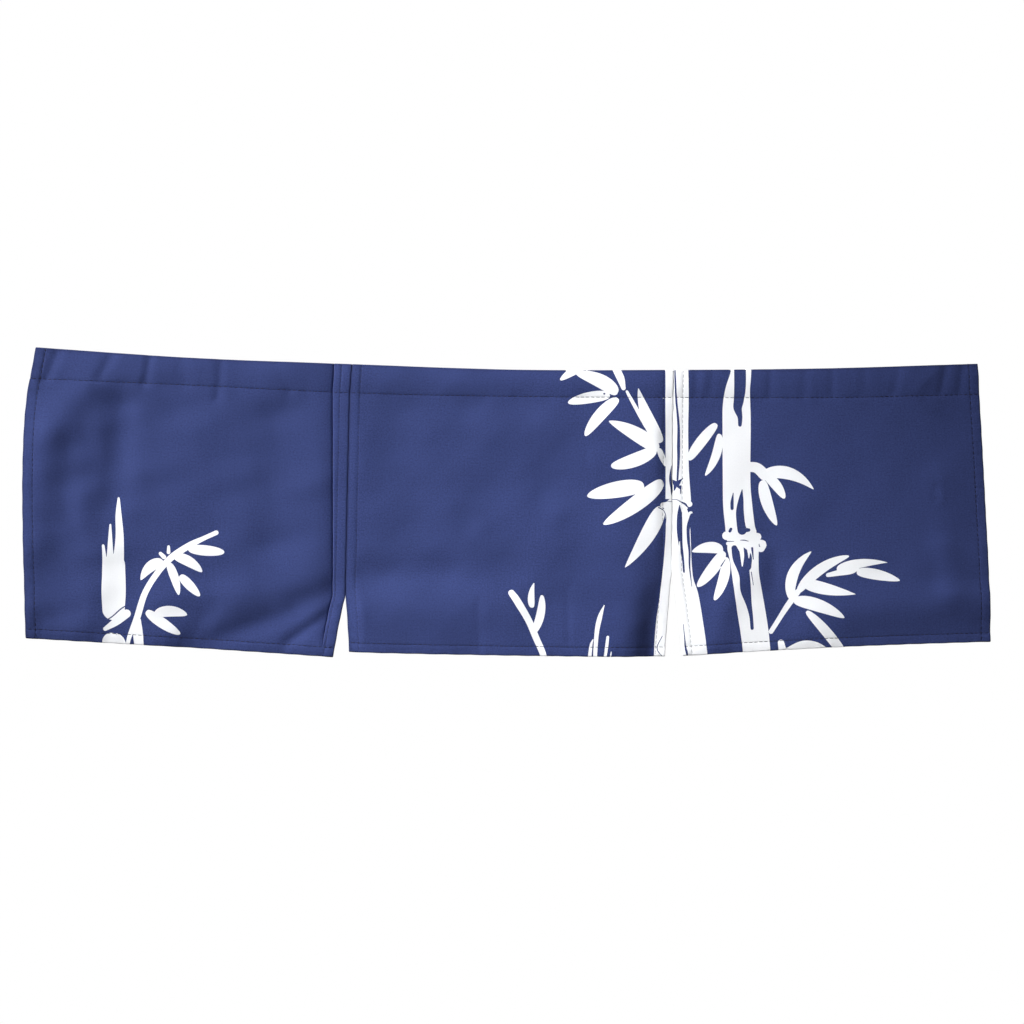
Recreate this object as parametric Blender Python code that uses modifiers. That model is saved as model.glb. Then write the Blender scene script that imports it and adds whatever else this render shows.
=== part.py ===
"""Noren: a short split curtain of three hemmed panels that share one rod pocket.

The curtain hangs flat in the XZ plane and its printed front faces -Y. Lengths are in metres, +Z is
up, and the origin is the middle of the top edge. Each panel is one length of cloth: its top is
turned over to the back and stitched down, and the channel left inside takes a rod along X.
"""

import math
from collections import namedtuple

import bmesh
import bpy

MM = 0.001
LEFT = 0
RIGHT = 1

# One layer of the hemmed cloth.
CLOTH_THICKNESS = 1.2 * MM
# The empty rod pocket: how far its back stands off its front, and how far its front bulges.
POCKET_OPENING = 10.0 * MM
POCKET_BULGE = 1.2 * MM
# How blunt the pocket is in section: 1 is a pointed lens, and smaller values are boxier.
POCKET_BLUNTNESS = 0.5
# Neighbouring panels meet with this gap between them where a slit is closed.
SLIT_GAP = 0.5 * MM
# Below the point where a slit opens, its sides part along a curve of this power.
SLIT_FLARE = 0.8
# Folds die out over this distance from a slit, where two stiff hems lie side by side.
HEM_STIFFNESS = 16 * MM

# Squares of the panel's surface: across it, down the pocket, and down the rest of the cloth. Those
# across are drawn together towards the stiff hems at both sides by this share of their width.
ACROSS = 28
EDGE_CROWDING = 0.4
DOWN_POCKET = 5
DOWN_CLOTH = 19

CLOTH_COLOUR = (0.050, 0.069, 0.191, 1.0)
CLOTH_ROUGHNESS = 0.85

Station = namedtuple("Station", "x top pocket")
Slit = namedtuple("Slit", "top stitches foot opens left_swing right_swing")
Side = namedtuple("Side", "top stitches foot bow bow_at")
Panel = namedtuple("Panel", "name hem_left hem_middle hem_right")
Fold = namedtuple("Fold", "panel x0 z0 x1 z1 reach height")
Curl = namedtuple("Curl", "panel edge reach height")

# The top edge sags between its ends, and the pocket's stitches wander. Each row, left to right, in
# mm: place along the edge, height of the edge, and depth of the pocket below it.
HEADING = (
    Station(-415, 17.3, 27.0),
    Station(-280, 8.8, 23.6),
    Station(-142, 4.1, 25.0),
    Station(0, 0.0, 23.5),
    Station(141, 0.5, 24.4),
    Station(278, 2.6, 26.0),
    Station(415, 7.4, 27.4),
)

# The curtain's two outer sides, in mm: x at the top, at the pocket's stitches and at the foot, how
# far the side bows out between the last two, and where along its height it bows most.
LEFT_SIDE = Side(-414.7, -419.6, -423.0, -5.2, 0.35)
RIGHT_SIDE = Side(414.9, 416.2, 427.8, 0.6, 0.55)

# The two slits, in mm: x of the closed line at the top, the stitches and the foot, the share of the
# height at which it opens, and how far each side has swung from that line at the foot.
SLITS = (
    Slit(-142.4, -144.4, -149.4, 0.80, -9.4, 4.5),
    Slit(140.9, 140.4, 138.6, 0.71, -4.3, 9.8),
)

# The panels, in mm: height of the bottom hem at its left end, middle and right end.
PANELS = (
    Panel("panel_left", -234.0, -242.3, -251.7),
    Panel("panel_middle", -247.4, -250.9, -253.2),
    Panel("panel_right", -252.2, -245.4, -241.3),
)

# The main folds, in mm: the line each one runs along, its half width, and how far it stands out to
# the front. A negative height is a trough.
FOLDS = (
    Fold("panel_left", -368, -16, -404, -58, 16, 2.6),
    Fold("panel_left", -404, -58, -416, -160, 15, 2.2),
    Fold("panel_left", -344, -36, -352, -120, 15, -2.4),
    Fold("panel_left", -372, -112, -370, -158, 13, 1.2),
    Fold("panel_left", -206, -42, -214, -150, 20, -2.0),
    Fold("panel_left", -380, -222, -366, -196, 18, 2.0),
    Fold("panel_left", -288, -246, -162, -196, 13, -2.6),
    Fold("panel_left", -250, -206, -186, -184, 17, 1.6),
    Fold("panel_left", -198, -238, -162, -216, 7, -1.2),
    Fold("panel_left", -160, 0, -161, -170, 5, -1.6),
    Fold("panel_left", -161, -170, -170, -240, 5, -1.6),
    Fold("panel_middle", -140, -212, -30, -208, 22, 2.0),
    Fold("panel_middle", -130, -180, -60, -174, 13, -1.2),
    Fold("panel_middle", -40, -150, 60, -138, 26, 1.5),
    Fold("panel_middle", -20, -62, 20, -52, 20, 1.2),
    Fold("panel_middle", 30, -90, 70, -116, 20, -1.2),
    Fold("panel_middle", -108, -44, -96, -84, 20, -1.0),
    Fold("panel_right", 178, -240, 196, -186, 14, 1.8),
    Fold("panel_right", 226, -150, 240, -212, 16, -1.8),
    Fold("panel_right", 300, -212, 420, -204, 20, 2.2),
    Fold("panel_right", 376, -96, 396, -196, 16, 2.0),
    Fold("panel_right", 352, -6, 372, -26, 13, 1.2),
    Fold("panel_right", 250, -52, 262, -110, 26, 1.2),
)

# Bottom corners that curl where a slit is open, in mm: the edge of the panel that curls, how far in
# the curl reaches, and how far it stands out to the front.
CURLS = (
    Curl("panel_left", RIGHT, 20, 2.0),
    Curl("panel_middle", RIGHT, 26, -9.0),
    Curl("panel_middle", LEFT, 18, -1.6),
    Curl("panel_right", LEFT, 22, 2.4),
)


def clear_scene():
    """Remove every object that is already in the scene."""
    for thing in list(bpy.data.objects):
        bpy.data.objects.remove(thing, do_unlink=True)


def mix(a, b, share):
    """Go from a to b as share goes from 0 to 1."""
    return a + (b - a) * share


def ease(value):
    """Rise smoothly from 0 to 1 as value does, and stay level outside."""
    value = min(max(value, 0.0), 1.0)
    return value * value * (3.0 - 2.0 * value)


def slope(rows, index, column):
    """Slope of a smooth curve through a table's column at one of its rows."""
    before = rows[max(index - 1, 0)]
    after = rows[min(index + 1, len(rows) - 1)]
    return (getattr(after, column) - getattr(before, column)) / (after.x - before.x)


def heading_value(column, x_mm):
    """Read a column of the heading table at x, on a smooth curve through its rows."""
    last = len(HEADING) - 2
    index = min(max(sum(row.x <= x_mm for row in HEADING) - 1, 0), last)
    start = HEADING[index]
    end = HEADING[index + 1]
    span = end.x - start.x
    u = (x_mm - start.x) / span
    rise = getattr(end, column) - getattr(start, column)
    leave = slope(HEADING, index, column) * span - rise
    arrive = rise - slope(HEADING, index + 1, column) * span
    bend = u * (1.0 - u) * (leave * (1.0 - u) + arrive * u)
    return getattr(start, column) + rise * u + bend


def hem_height(panel, share):
    """Height of a panel's bottom edge, on a parabola through its ends and middle."""
    straight = mix(panel.hem_left, panel.hem_right, share)
    sag = panel.hem_middle - (panel.hem_left + panel.hem_right) / 2.0
    return straight + 4.0 * sag * share * (1.0 - share)


def closed_line(edge, down, stitches_down):
    """X of an upright edge that is bent only at the pocket's stitches."""
    if down < stitches_down:
        return mix(edge.top, edge.stitches, down / stitches_down)
    return mix(edge.stitches, edge.foot, (down - stitches_down) / (1.0 - stitches_down))


def side_x(side, down, stitches_down):
    """X of an outer side at a share of the height."""
    power = math.log(0.5) / math.log(side.bow_at)
    bow = side.bow * math.sin(math.pi * down ** power)
    return closed_line(side, down, stitches_down) + bow


def slit_x(slit, swing, down, stitches_down):
    """X of one side of a slit at a share of the height."""
    half_gap = math.copysign(SLIT_GAP / MM / 2.0, swing)
    opened = max(down - slit.opens, 0.0) / (1.0 - slit.opens)
    return closed_line(slit, down, stitches_down) + half_gap + swing * opened ** SLIT_FLARE


def slit_beside(number, edge):
    """The slit along a panel's left or right edge, or None where that edge is an outer side."""
    place = number - 1 + edge
    return SLITS[place] if 0 <= place < len(SLITS) else None


def edge_x(number, edge, down, stitches_down):
    """X of a panel's left or right edge at a share of the height."""
    slit = slit_beside(number, edge)
    if slit is None:
        return side_x(LEFT_SIDE if edge == LEFT else RIGHT_SIDE, down, stitches_down)
    swing = slit.right_swing if edge == LEFT else slit.left_swing
    return slit_x(slit, swing, down, stitches_down)


def fold_height(fold, x, z):
    """How far one fold lifts the cloth at a point, with rounded ends to its line."""
    run_x = fold.x1 - fold.x0
    run_z = fold.z1 - fold.z0
    along = ((x - fold.x0) * run_x + (z - fold.z0) * run_z) / (run_x ** 2 + run_z ** 2)
    along = min(max(along, 0.0), 1.0)
    off_x = x - fold.x0 - along * run_x
    off_z = z - fold.z0 - along * run_z
    return fold.height * math.exp(-(off_x ** 2 + off_z ** 2) / fold.reach ** 2)


def cloth_height(number, x, z, down, stitches_down):
    """How far the front of a panel stands out at a point: its folds and its curled corners."""
    name = PANELS[number].name
    height = sum(fold_height(fold, x, z) for fold in FOLDS if fold.panel == name)
    for edge in (LEFT, RIGHT):
        slit = slit_beside(number, edge)
        if slit is None:
            continue
        distance = abs(x - edge_x(number, edge, down, stitches_down))
        height *= ease(distance * MM / HEM_STIFFNESS)
        opened = ease((down - slit.opens) / (1.0 - slit.opens))
        for curl in CURLS:
            if curl.panel == name and curl.edge == edge:
                height += curl.height * opened * math.exp(-(distance / curl.reach) ** 2)
    return height


def surface_point(number, across, pocket_down, cloth_down):
    """Point of a panel's front in metres, for shares across, down the pocket and down the cloth."""
    panel = PANELS[number]
    top_x = mix(edge_x(number, LEFT, 0.0, 1.0), edge_x(number, RIGHT, 0.0, 1.0), across)
    top = heading_value("top", top_x)
    pocket = heading_value("pocket", top_x)
    foot = hem_height(panel, across)
    stitches = top - pocket
    z = mix(top, stitches, pocket_down) if cloth_down == 0.0 else mix(stitches, foot, cloth_down)
    down = (top - z) / (top - foot)
    stitches_down = pocket / (top - foot)
    left = edge_x(number, LEFT, down, stitches_down)
    right = edge_x(number, RIGHT, down, stitches_down)
    x = mix(left, right, across)
    height = cloth_height(number, x, z, down, stitches_down) * MM
    if cloth_down == 0.0:
        height += POCKET_BULGE * pocket_section(pocket_down)
    return x * MM, -height, z * MM - CLOTH_THICKNESS / 2.0


def pocket_section(pocket_down):
    """Shape of the pocket's section, from 0 at its top and stitches to 1 at its middle."""
    return math.sin(math.pi * min(pocket_down, 1.0 - pocket_down)) ** POCKET_BLUNTNESS


def crowd(share):
    """Draw an even share across a panel towards the nearer of its two sides."""
    return share - EDGE_CROWDING * math.sin(2.0 * math.pi * share) / (2.0 * math.pi)


def panel_rows(number):
    """Rows of points down the front of a panel, from its top edge to its bottom hem."""
    steps = [(step / DOWN_POCKET, 0.0) for step in range(DOWN_POCKET + 1)]
    steps += [(1.0, step / DOWN_CLOTH) for step in range(1, DOWN_CLOTH + 1)]
    rows = []
    for pocket_down, cloth_down in steps:
        shares = [crowd(step / ACROSS) for step in range(ACROSS + 1)]
        rows.append([surface_point(number, share, pocket_down, cloth_down) for share in shares])
    return rows


def bridge(mesh, upper, lower):
    """Fill the squares between two rows of points."""
    for i in range(len(upper) - 1):
        mesh.faces.new((upper[i], lower[i], lower[i + 1], upper[i + 1]))


def make_panel_surface(number):
    """Open surface of a panel: its front, and the turned-over top that closes the pocket."""
    mesh = bmesh.new()
    front = [[mesh.verts.new(point) for point in row] for row in panel_rows(number)]
    for upper, lower in zip(front, front[1:]):
        bridge(mesh, upper, lower)
    back = [front[0]]
    for step in range(1, DOWN_POCKET):
        gap = POCKET_OPENING * pocket_section(step / DOWN_POCKET)
        back.append([mesh.verts.new((v.co.x, v.co.y + gap, v.co.z)) for v in front[step]])
    back.append(front[DOWN_POCKET])
    for upper, lower in zip(back, back[1:]):
        bridge(mesh, lower, upper)
    data = bpy.data.meshes.new(PANELS[number].name)
    mesh.to_mesh(data)
    mesh.free()
    return data


def make_cloth_material(name):
    """Matt navy cloth."""
    material = bpy.data.materials.new(name)
    material.use_nodes = True
    shader = material.node_tree.nodes["Principled BSDF"]
    shader.inputs["Base Color"].default_value = CLOTH_COLOUR
    shader.inputs["Roughness"].default_value = CLOTH_ROUGHNESS
    shader.inputs["Metallic"].default_value = 0.0
    return material


def make_panel(number, collection):
    """One panel: its open surface, given the thickness of the cloth."""
    data = make_panel_surface(number)
    data.materials.append(make_cloth_material(PANELS[number].name + "_cloth"))
    data.shade_smooth()
    panel = bpy.data.objects.new(PANELS[number].name, data)
    collection.objects.link(panel)
    thicken = panel.modifiers.new("Cloth thickness", "SOLIDIFY")
    thicken.solidify_mode = "NON_MANIFOLD"
    thicken.nonmanifold_thickness_mode = "EVEN"
    thicken.nonmanifold_boundary_mode = "NONE"
    thicken.nonmanifold_merge_threshold = 0.00001
    thicken.thickness = CLOTH_THICKNESS
    thicken.offset = 0.0
    return panel


def main():
    clear_scene()
    collection = bpy.data.collections.new("Noren curtain")
    bpy.context.scene.collection.children.link(collection)
    for number in range(len(PANELS)):
        make_panel(number, collection)


main()
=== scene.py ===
"""Looks of the noren: three printed cloth panels with turned hems and stitches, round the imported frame.

Each panel is one sheet of cloth. It is drawn flat, with its hems and the turned-over top unfolded
beyond its edges, and the print is cut into that flat sheet as real outlines. The sheet is then
folded up: its sides, its foot and the top that makes the rod pocket, on the folds of the solid it
replaces. Lengths are in millimetres until a mesh is made, and +Y is the back of the cloth.
"""

import math
from collections import namedtuple

import bpy
import numpy as np
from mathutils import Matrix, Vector
from mathutils.geometry import delaunay_2d_cdt
from mathutils.kdtree import KDTree


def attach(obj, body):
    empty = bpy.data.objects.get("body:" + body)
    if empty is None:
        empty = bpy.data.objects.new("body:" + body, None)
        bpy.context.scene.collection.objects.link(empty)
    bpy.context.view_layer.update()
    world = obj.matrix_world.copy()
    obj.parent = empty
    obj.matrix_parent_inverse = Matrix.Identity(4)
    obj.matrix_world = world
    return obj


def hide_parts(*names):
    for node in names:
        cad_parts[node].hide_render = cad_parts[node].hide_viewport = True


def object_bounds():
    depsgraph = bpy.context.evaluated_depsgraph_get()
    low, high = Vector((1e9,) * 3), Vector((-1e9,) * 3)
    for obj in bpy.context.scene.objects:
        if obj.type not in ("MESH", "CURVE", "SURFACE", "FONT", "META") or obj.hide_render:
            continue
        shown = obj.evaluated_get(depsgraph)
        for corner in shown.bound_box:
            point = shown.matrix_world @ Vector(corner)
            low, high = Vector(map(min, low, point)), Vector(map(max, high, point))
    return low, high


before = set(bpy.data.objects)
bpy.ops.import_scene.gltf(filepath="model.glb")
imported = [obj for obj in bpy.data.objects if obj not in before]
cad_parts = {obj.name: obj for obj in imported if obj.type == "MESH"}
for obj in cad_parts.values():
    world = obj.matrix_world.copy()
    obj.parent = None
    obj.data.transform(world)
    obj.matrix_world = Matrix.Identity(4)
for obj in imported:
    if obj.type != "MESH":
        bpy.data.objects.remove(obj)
cad_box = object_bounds()

MM = 0.001
LEFT = 0
RIGHT = 1

# The cloth, and the distance between its layers where it is turned over and sewn down.
CLOTH = 0.34
LAYER = 0.46
# Hems: their width, how far in they are stitched, and the raw edge turned under inside them.
HEM_WIDTH = 9.8
SIDE_STITCH = 8.6
FOOT_STITCH = 8.3
TURNED_UNDER = 6.0
# At a bottom corner the foot is folded over the side hem, so its fold is this much rounder.
CORNER_BULK = 2.5
CORNER_FADE = 6.0
# A raw edge that is turned under stops this far short of a side hem.
LIP_MARGIN = 1.4
# Turned cloth is drawn in by its thickness at the fold, and this far from it no longer.
TUCK_REACH = 20.0

# The rod pocket: its nominal depth, how far its back stands off, and how far its front bulges.
POCKET = 25.0
POCKET_OPENING = 9.4
POCKET_BULGE = 0.8
# The top edge is folded over with this radius.
NOSE = 0.9
# The turned-over top ends this far below the pocket's stitches.
CASING_MARGIN = 1.6

# Nominal size of each panel. Its real width and height at a place differ by a few mm, and the
# difference is taken up in the middle, so that hems and stitches keep their distance from an edge.
WIDTHS = (270.0, 283.0, 276.0)
LENGTH = 252.0

# Where a slit is closed, the hems overlap by this much, one a little behind the other.
SLIT_OVERLAP = 0.04
SLIT_STAGGER = 0.18
# That dies out this far from the slit, and by the time that it has opened by this share.
STAGGER_REACH = 4.0
STAGGER_FADE = 1.0 / 6.0
# Its edges part along a curve of this power. Folds die out towards them, over this distance.
SLIT_FLARE = 0.8
HEM_STIFFNESS = 16.0
# Where a bottom corner curls, the hem stays flat this far in.
STIFF_EDGE = 10.0

Station = namedtuple("Station", "x top pocket")
Slit = namedtuple("Slit", "top stitches foot opens left_swing right_swing")
Side = namedtuple("Side", "top stitches foot bow bow_at")
Panel = namedtuple("Panel", "name hem_left hem_middle hem_right")
Fold = namedtuple("Fold", "x0 z0 x1 z1 reach height")
Curl = namedtuple("Curl", "reach height")

# The top edge: place along it, its height, and the depth of the pocket below it.
HEADING = (
    Station(-415, 17.3, 27.0),
    Station(-280, 8.8, 23.6),
    Station(-142, 4.1, 25.0),
    Station(0, 0.0, 23.5),
    Station(141, 0.5, 24.4),
    Station(278, 2.6, 26.0),
    Station(415, 7.4, 27.4),
)
LEFT_SIDE = Side(-414.7, -419.6, -423.0, -5.2, 0.35)
RIGHT_SIDE = Side(414.9, 416.2, 427.8, 0.6, 0.55)
SLITS = (
    Slit(-142.4, -144.4, -149.4, 0.80, -9.4, 4.5),
    Slit(140.9, 140.4, 138.6, 0.71, -4.3, 9.8),
)
PANELS = (
    Panel("panel_left", -234.0, -242.3, -251.7),
    Panel("panel_middle", -247.4, -250.9, -253.2),
    Panel("panel_right", -252.2, -245.4, -241.3),
)

# Folds: x0, z0, x1 and z1 of the line that each runs along, its half width, and its height to the
# front. FOLDS are the solid's own. CREASES are finer and only the cloth has them: creases in the
# pocket, and small dents and draws.
LEFT_FOLDS = (
    (-368, -16, -404, -58, 16, 2.6),
    (-404, -58, -416, -160, 15, 2.2),
    (-344, -36, -352, -120, 15, -2.4),
    (-372, -112, -370, -158, 13, 1.2),
    (-206, -42, -214, -150, 20, -2.0),
    (-380, -222, -366, -196, 18, 2.0),
    (-288, -246, -162, -196, 13, -2.6),
    (-250, -206, -186, -184, 17, 1.6),
    (-198, -238, -162, -216, 7, -1.2),
)
LEFT_CREASES = (
    (-396, 13, -404, -7, 5, -1.0),
    (-350, 10, -361, -9, 5, -0.9),
    (-317, 10, -321, -13, 3.5, -1.0),
    (-290, 3, -290, -15, 7, -0.6),
    (-256, 6, -259, -26, 4, -0.8),
    (-208, 3, -196, -20, 5, -0.6),
    (-336, -34, -342, -110, 11, -0.9),
    (-358, -36, -362, -100, 10, 0.7),
    (-377, -80, -377, -132, 8, 0.6),
    (-196, -237, -161, -211, 5, -0.8),
    (-283, -232, -261, -206, 8, -0.7),
    (-414, -208, -372, -214, 16, 1.6),
    (-312, -206, -240, -192, 13, 1.2),
    (-262, -226, -204, -208, 9, 1.1),
    (-425, -262, -310, -262, 50, 4.0),
    (-381, -212, -407, -216, 9, -0.8),
)
MIDDLE_FOLDS = (
    (-140, -212, -30, -208, 22, 2.0),
    (-130, -180, -60, -174, 13, -1.2),
    (-40, -150, 60, -138, 26, 1.5),
    (-20, -62, 20, -52, 20, 1.2),
    (30, -90, 70, -116, 20, -1.2),
    (-108, -44, -96, -84, 20, -1.0),
)
MIDDLE_CREASES = (
    (-32, -202, -32, -246, 4, -0.4),
    (-136, -213, 0, -211, 19, 1.7),
    (-10, -196, 40, -176, 24, 1.0),
    (-120, -264, 60, -264, 50, 4.0),
    (106, -60, 106, -165, 46, 3.2),
    (47, -194, 47, -238, 4, -0.4),
    (-42, -31, -35, -31, 9, -0.6),
    (-46, -132, -44, -135, 10, -0.6),
    (23, -114, 24, -118, 10, -0.6),
    (-30, -138, -27, -136, 8, 0.5),
    (36, -128, 39, -125, 8, 0.5),
    (63, -70, 64, -88, 3, -0.3),
)
RIGHT_FOLDS = (
    (178, -240, 196, -186, 14, 1.8),
    (226, -150, 240, -212, 16, -1.8),
    (300, -212, 420, -204, 20, 2.2),
    (376, -96, 396, -196, 16, 2.0),
    (352, -6, 372, -26, 13, 1.2),
    (250, -52, 262, -110, 26, 1.2),
)
RIGHT_CREASES = (
    (300, -240, 420, -232, 16, -1.2),
    (290, -262, 440, -262, 52, -3.6),
    (380, -184, 424, -188, 13, -1.2),
    (376, -92, 384, -140, 16, -1.0),
    (382, -158, 388, -196, 12, 1.3),
    (162, 1, 160, -22, 3.5, -0.6),
    (176, 1, 173, -22, 3.5, -0.5),
    (228, 1, 226, -22, 4, -0.7),
    (259, 1, 256, -20, 5, -0.5),
    (283, 1, 282, -20, 4, -0.6),
    (313, 3, 310, -20, 5, -0.5),
    (343, 3, 339, -18, 4, -0.6),
    (386, 5, 381, -18, 4, -1.0),
    (401, 5, 398, -18, 4, -1.0),
    (359, -16, 377, 2, 5, 0.4),
    (381, -96, 382, -114, 4, 0.4),
    (377, -104, 376, -114, 4, -0.4),
    (232, -168, 229, -194, 8, -0.8),
    (178, -203, 185, -210, 8, 0.6),
)
FOLDS = (
    LEFT_FOLDS + LEFT_CREASES,
    MIDDLE_FOLDS + MIDDLE_CREASES,
    RIGHT_FOLDS + RIGHT_CREASES,
)
# The curl of the hem beside an open slit, by panel and edge: how far in it reaches, and its height.
CURLS = {
    (0, RIGHT): Curl(20.0, 2.0),
    (1, LEFT): Curl(18.0, -1.6),
    (1, RIGHT): Curl(17.0, -6.4),
    (2, LEFT): Curl(22.0, 2.4),
}

# The middle panel's edge falls back beside the right slit from above the place where it opens: how
# far down that starts and ends, how far in it reaches, and how far back the edge goes.
RECESS_FROM = 132.0
RECESS_TO = 196.0
RECESS_REACH = 14.0
RECESS_DEPTH = 3.0
# The stiff hem there springs forward again towards its edge.
HEM_SPRING = 1.2

# A pressed-in crease runs down beside the left panel's inner hem. Its distance from that edge at
# the top and at the foot, how far down it has come that near, its depth, and how steeply it falls
# on each side.
CREASE_TOP = 15.2
CREASE_FOOT = 11.0
CREASE_DRIFT = 180.0
CREASE_DEPTH = 1.7
CREASE_WIDTH = 1.5
CREASE_WALL = 0.22
CREASE_SHOULDER = 1.2
CREASE_SHOULDER_WIDTH = 8.0
# It dies out this far above the foot, over this distance.
CREASE_END = 22.0
CREASE_FADE = 16.0
# The sheet's columns follow it: from how far past the hem's stitches, over what distance, until how
# far from the edge, and over what distance they leave it.
FOLLOW_PAST = 1.6
FOLLOW_OVER = 3.0
FOLLOW_UNTIL = 20.0
LEAVE_OVER = 12.0

# Small ripples that sewing leaves beside the stitches: their height, length and reach.
RIPPLE_HEIGHT = 0.10
RIPPLE_LENGTH = 11.0
RIPPLE_REACH = 7.0
# They are highest this far in from an edge.
SIDE_RIPPLE_AT = 4.5
FOOT_RIPPLE_AT = 4.0
# They wander, by this many radians over this length, and differ from one seam to the next.
RIPPLE_WANDER = 1.7
RIPPLE_DRIFT = 23.0
RIPPLE_PHASE = 5.0
FOOT_SEAM = 0.4
TOP_SEAM = 0.8
TOP_STRETCH = 0.7
# The hemmed edges waver by this much with them.
WAVINESS = 0.10
WAVE_STRETCH = 0.55
# Stitches draw the layers into a groove and press them together, and the hem swells beside it.
GROOVE_DEPTH = 0.12
GROOVE_REACH = 0.8
PRESS = 0.2
HEM_SWELL = 0.2
# Layers further apart than this are not sewn together: the pocket stands open there.
SEWN_FLAT = 3.0
# The pocket's back has no pressed crease where it stands off by more than this, and over this much.
OPEN_FROM = 2.0
OPEN_REACH = 4.0
# The foot rolls back.
FOOT_ROLL = 0.5
# How uneven each panel hangs beside its folds, and the length and height of the waves in it.
SLACKNESS = (1.0, 0.9, 0.5)
SLACK_SEED = 40
SLACK_WAVES = ((85, 0.30), (62, 0.26), (47, 0.20), (36, 0.14), (27, 0.09), (19, 0.05))

# Stitches: one thread lies on the cloth between two needle holes.
STITCH_PITCH = 4.5
STITCH_GAP = 1.3
THREAD = 0.43
# Beside a slit the stitches are pulled in tighter, so that only this share of their thread shows.
TIGHT_THREAD = 0.6
THREAD_SIDES = 6
# Along a stitch: its share of the way, the height of the thread's middle and its radius, both as
# shares of the thread.
STITCH_SHARES = np.array([0.0, 0.12, 0.5, 0.88, 1.0])
STITCH_LIFTS = np.array([-0.35, 0.22, 0.38, 0.22, -0.35])
STITCH_RADII = np.array([0.55, 0.95, 1.0, 0.95, 0.55]) / 2.0
# How uneven stitches are: along the seam as a share of the pitch, and beside it.
STITCH_SEED = 70
UNEVEN_ALONG = 0.03
UNEVEN_BESIDE = 0.12

# Fineness of the flat sheet: on open cloth, across and along a turned edge, on what is turned
# under, in a hem, and on each side of a seam, up to this far from it.
GRID_STEP = 2.1
FOLD_STEP = 0.26
FOOT_FOLD_STEP = 0.24
TURN_STEP = 0.2
UNDER_STEP = 2.6
HEM_STEP = 1.5
BESIDE_HEM_STEP = 1.6
POCKET_STEP = 1.7
SEAM_STEP = 0.53
SEAM_REACH = 1.6
# The foot's fold, rounder than a side's, reaches from here to here along the cloth.
FOOT_FOLD = (1.2, -2.6)
NOSE_POINTS = 7
POCKET_BACK_POINTS = 22
# Columns of points across the pressed crease, which displace others within this band of it.
CREASE_COLUMNS = np.array([-0.7, -0.45, -0.25, -0.1, 0.0, 0.3, 0.7, 1.2, 1.9, 2.8, 4.0])
CREASE_BAND = (-4.4, 5.0)
# Fineness of the print's outlines, and how far the sheet's other points keep from them. Points
# nearer than the last distance become one.
OUTLINE_STEP = 0.8
CLEAR_OF_OUTLINE = 0.45
SAME_PLACE = 1e-5
# Rounds in which a place on the flat sheet is found from its place on the hanging cloth.
UNPLACE_ROUNDS = 8

# The cloth's materials in order: navy and white on the printed face, then on the reverse.
NAVY = 0
WHITE = 1
REVERSE = 2


def mix(a, b, share):
    """Go from a to b as share goes from 0 to 1."""
    return a + (b - a) * share


def ease(value):
    """Rise smoothly from 0 to 1 as value does, and stay level outside."""
    value = np.clip(value, 0.0, 1.0)
    return value * value * (3.0 - 2.0 * value)


def bump(distance, reach):
    """A smooth bump that is 1 at no distance and dies out past its reach."""
    return np.exp(-((distance / reach) ** 2))


def unit(vectors):
    """Vectors, along the last axis, at length 1."""
    return vectors / np.linalg.norm(vectors, axis=-1, keepdims=True)


# -------- the panel's outline


def heading(column, x):
    """Read a column of the heading table at x, on a smooth curve through its rows."""
    places = np.array([row.x for row in HEADING], float)
    values = np.array([getattr(row, column) for row in HEADING], float)
    before = np.maximum(np.arange(len(HEADING)) - 1, 0)
    after = np.minimum(np.arange(len(HEADING)) + 1, len(HEADING) - 1)
    slopes = (values[after] - values[before]) / (places[after] - places[before])
    index = np.clip(np.searchsorted(places, x, side="right") - 1, 0, len(HEADING) - 2)
    span = places[index + 1] - places[index]
    u = (x - places[index]) / span
    rise = values[index + 1] - values[index]
    leave = slopes[index] * span - rise
    arrive = rise - slopes[index + 1] * span
    return values[index] + rise * u + u * (1.0 - u) * (leave * (1.0 - u) + arrive * u)


def hem_height(panel, share):
    """Height of a panel's bottom edge, on a parabola through its ends and middle."""
    straight = mix(panel.hem_left, panel.hem_right, share)
    sag = panel.hem_middle - (panel.hem_left + panel.hem_right) / 2.0
    return straight + 4.0 * sag * share * (1.0 - share)


def closed_line(edge, down, stitches_down):
    """X of an upright edge that is bent only at the pocket's stitches."""
    upper = mix(edge.top, edge.stitches, down / stitches_down)
    lower = mix(edge.stitches, edge.foot, (down - stitches_down) / (1.0 - stitches_down))
    return np.where(down < stitches_down, upper, lower)


def slit_beside(number, edge):
    """The slit along a panel's left or right edge, or None where that edge is an outer side."""
    place_in_row = number - 1 + edge
    return SLITS[place_in_row] if 0 <= place_in_row < len(SLITS) else None


def opened(slit, down):
    """How far a slit has opened at a share of the height: 0 where it is closed, 1 at the foot."""
    return np.clip((down - slit.opens) / (1.0 - slit.opens), 0.0, 1.0)


def edge_x(number, edge, down, stitches_down):
    """X of a panel's left or right edge at a share of the height."""
    slit = slit_beside(number, edge)
    if slit is None:
        side = LEFT_SIDE if edge == LEFT else RIGHT_SIDE
        power = math.log(0.5) / math.log(side.bow_at)
        below = np.clip((down - stitches_down) / (1.0 - stitches_down), 0.0, 1.0)
        bow = side.bow * np.sin(math.pi * below ** power)
        return closed_line(side, down, stitches_down) + bow
    swing = slit.right_swing if edge == LEFT else slit.left_swing
    overlap = math.copysign(SLIT_OVERLAP / 2.0, swing)
    return closed_line(slit, down, stitches_down) - overlap + swing * opened(slit, down) ** SLIT_FLARE


def heights(number, across):
    """Height of the top edge, depth of the pocket and height of the hem at a share across."""
    left, right = (edge_x(number, edge, 0.0, POCKET / LENGTH) for edge in (LEFT, RIGHT))
    top_x = mix(left, right, across)
    return heading("top", top_x), heading("pocket", top_x), hem_height(PANELS[number], across)


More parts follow.
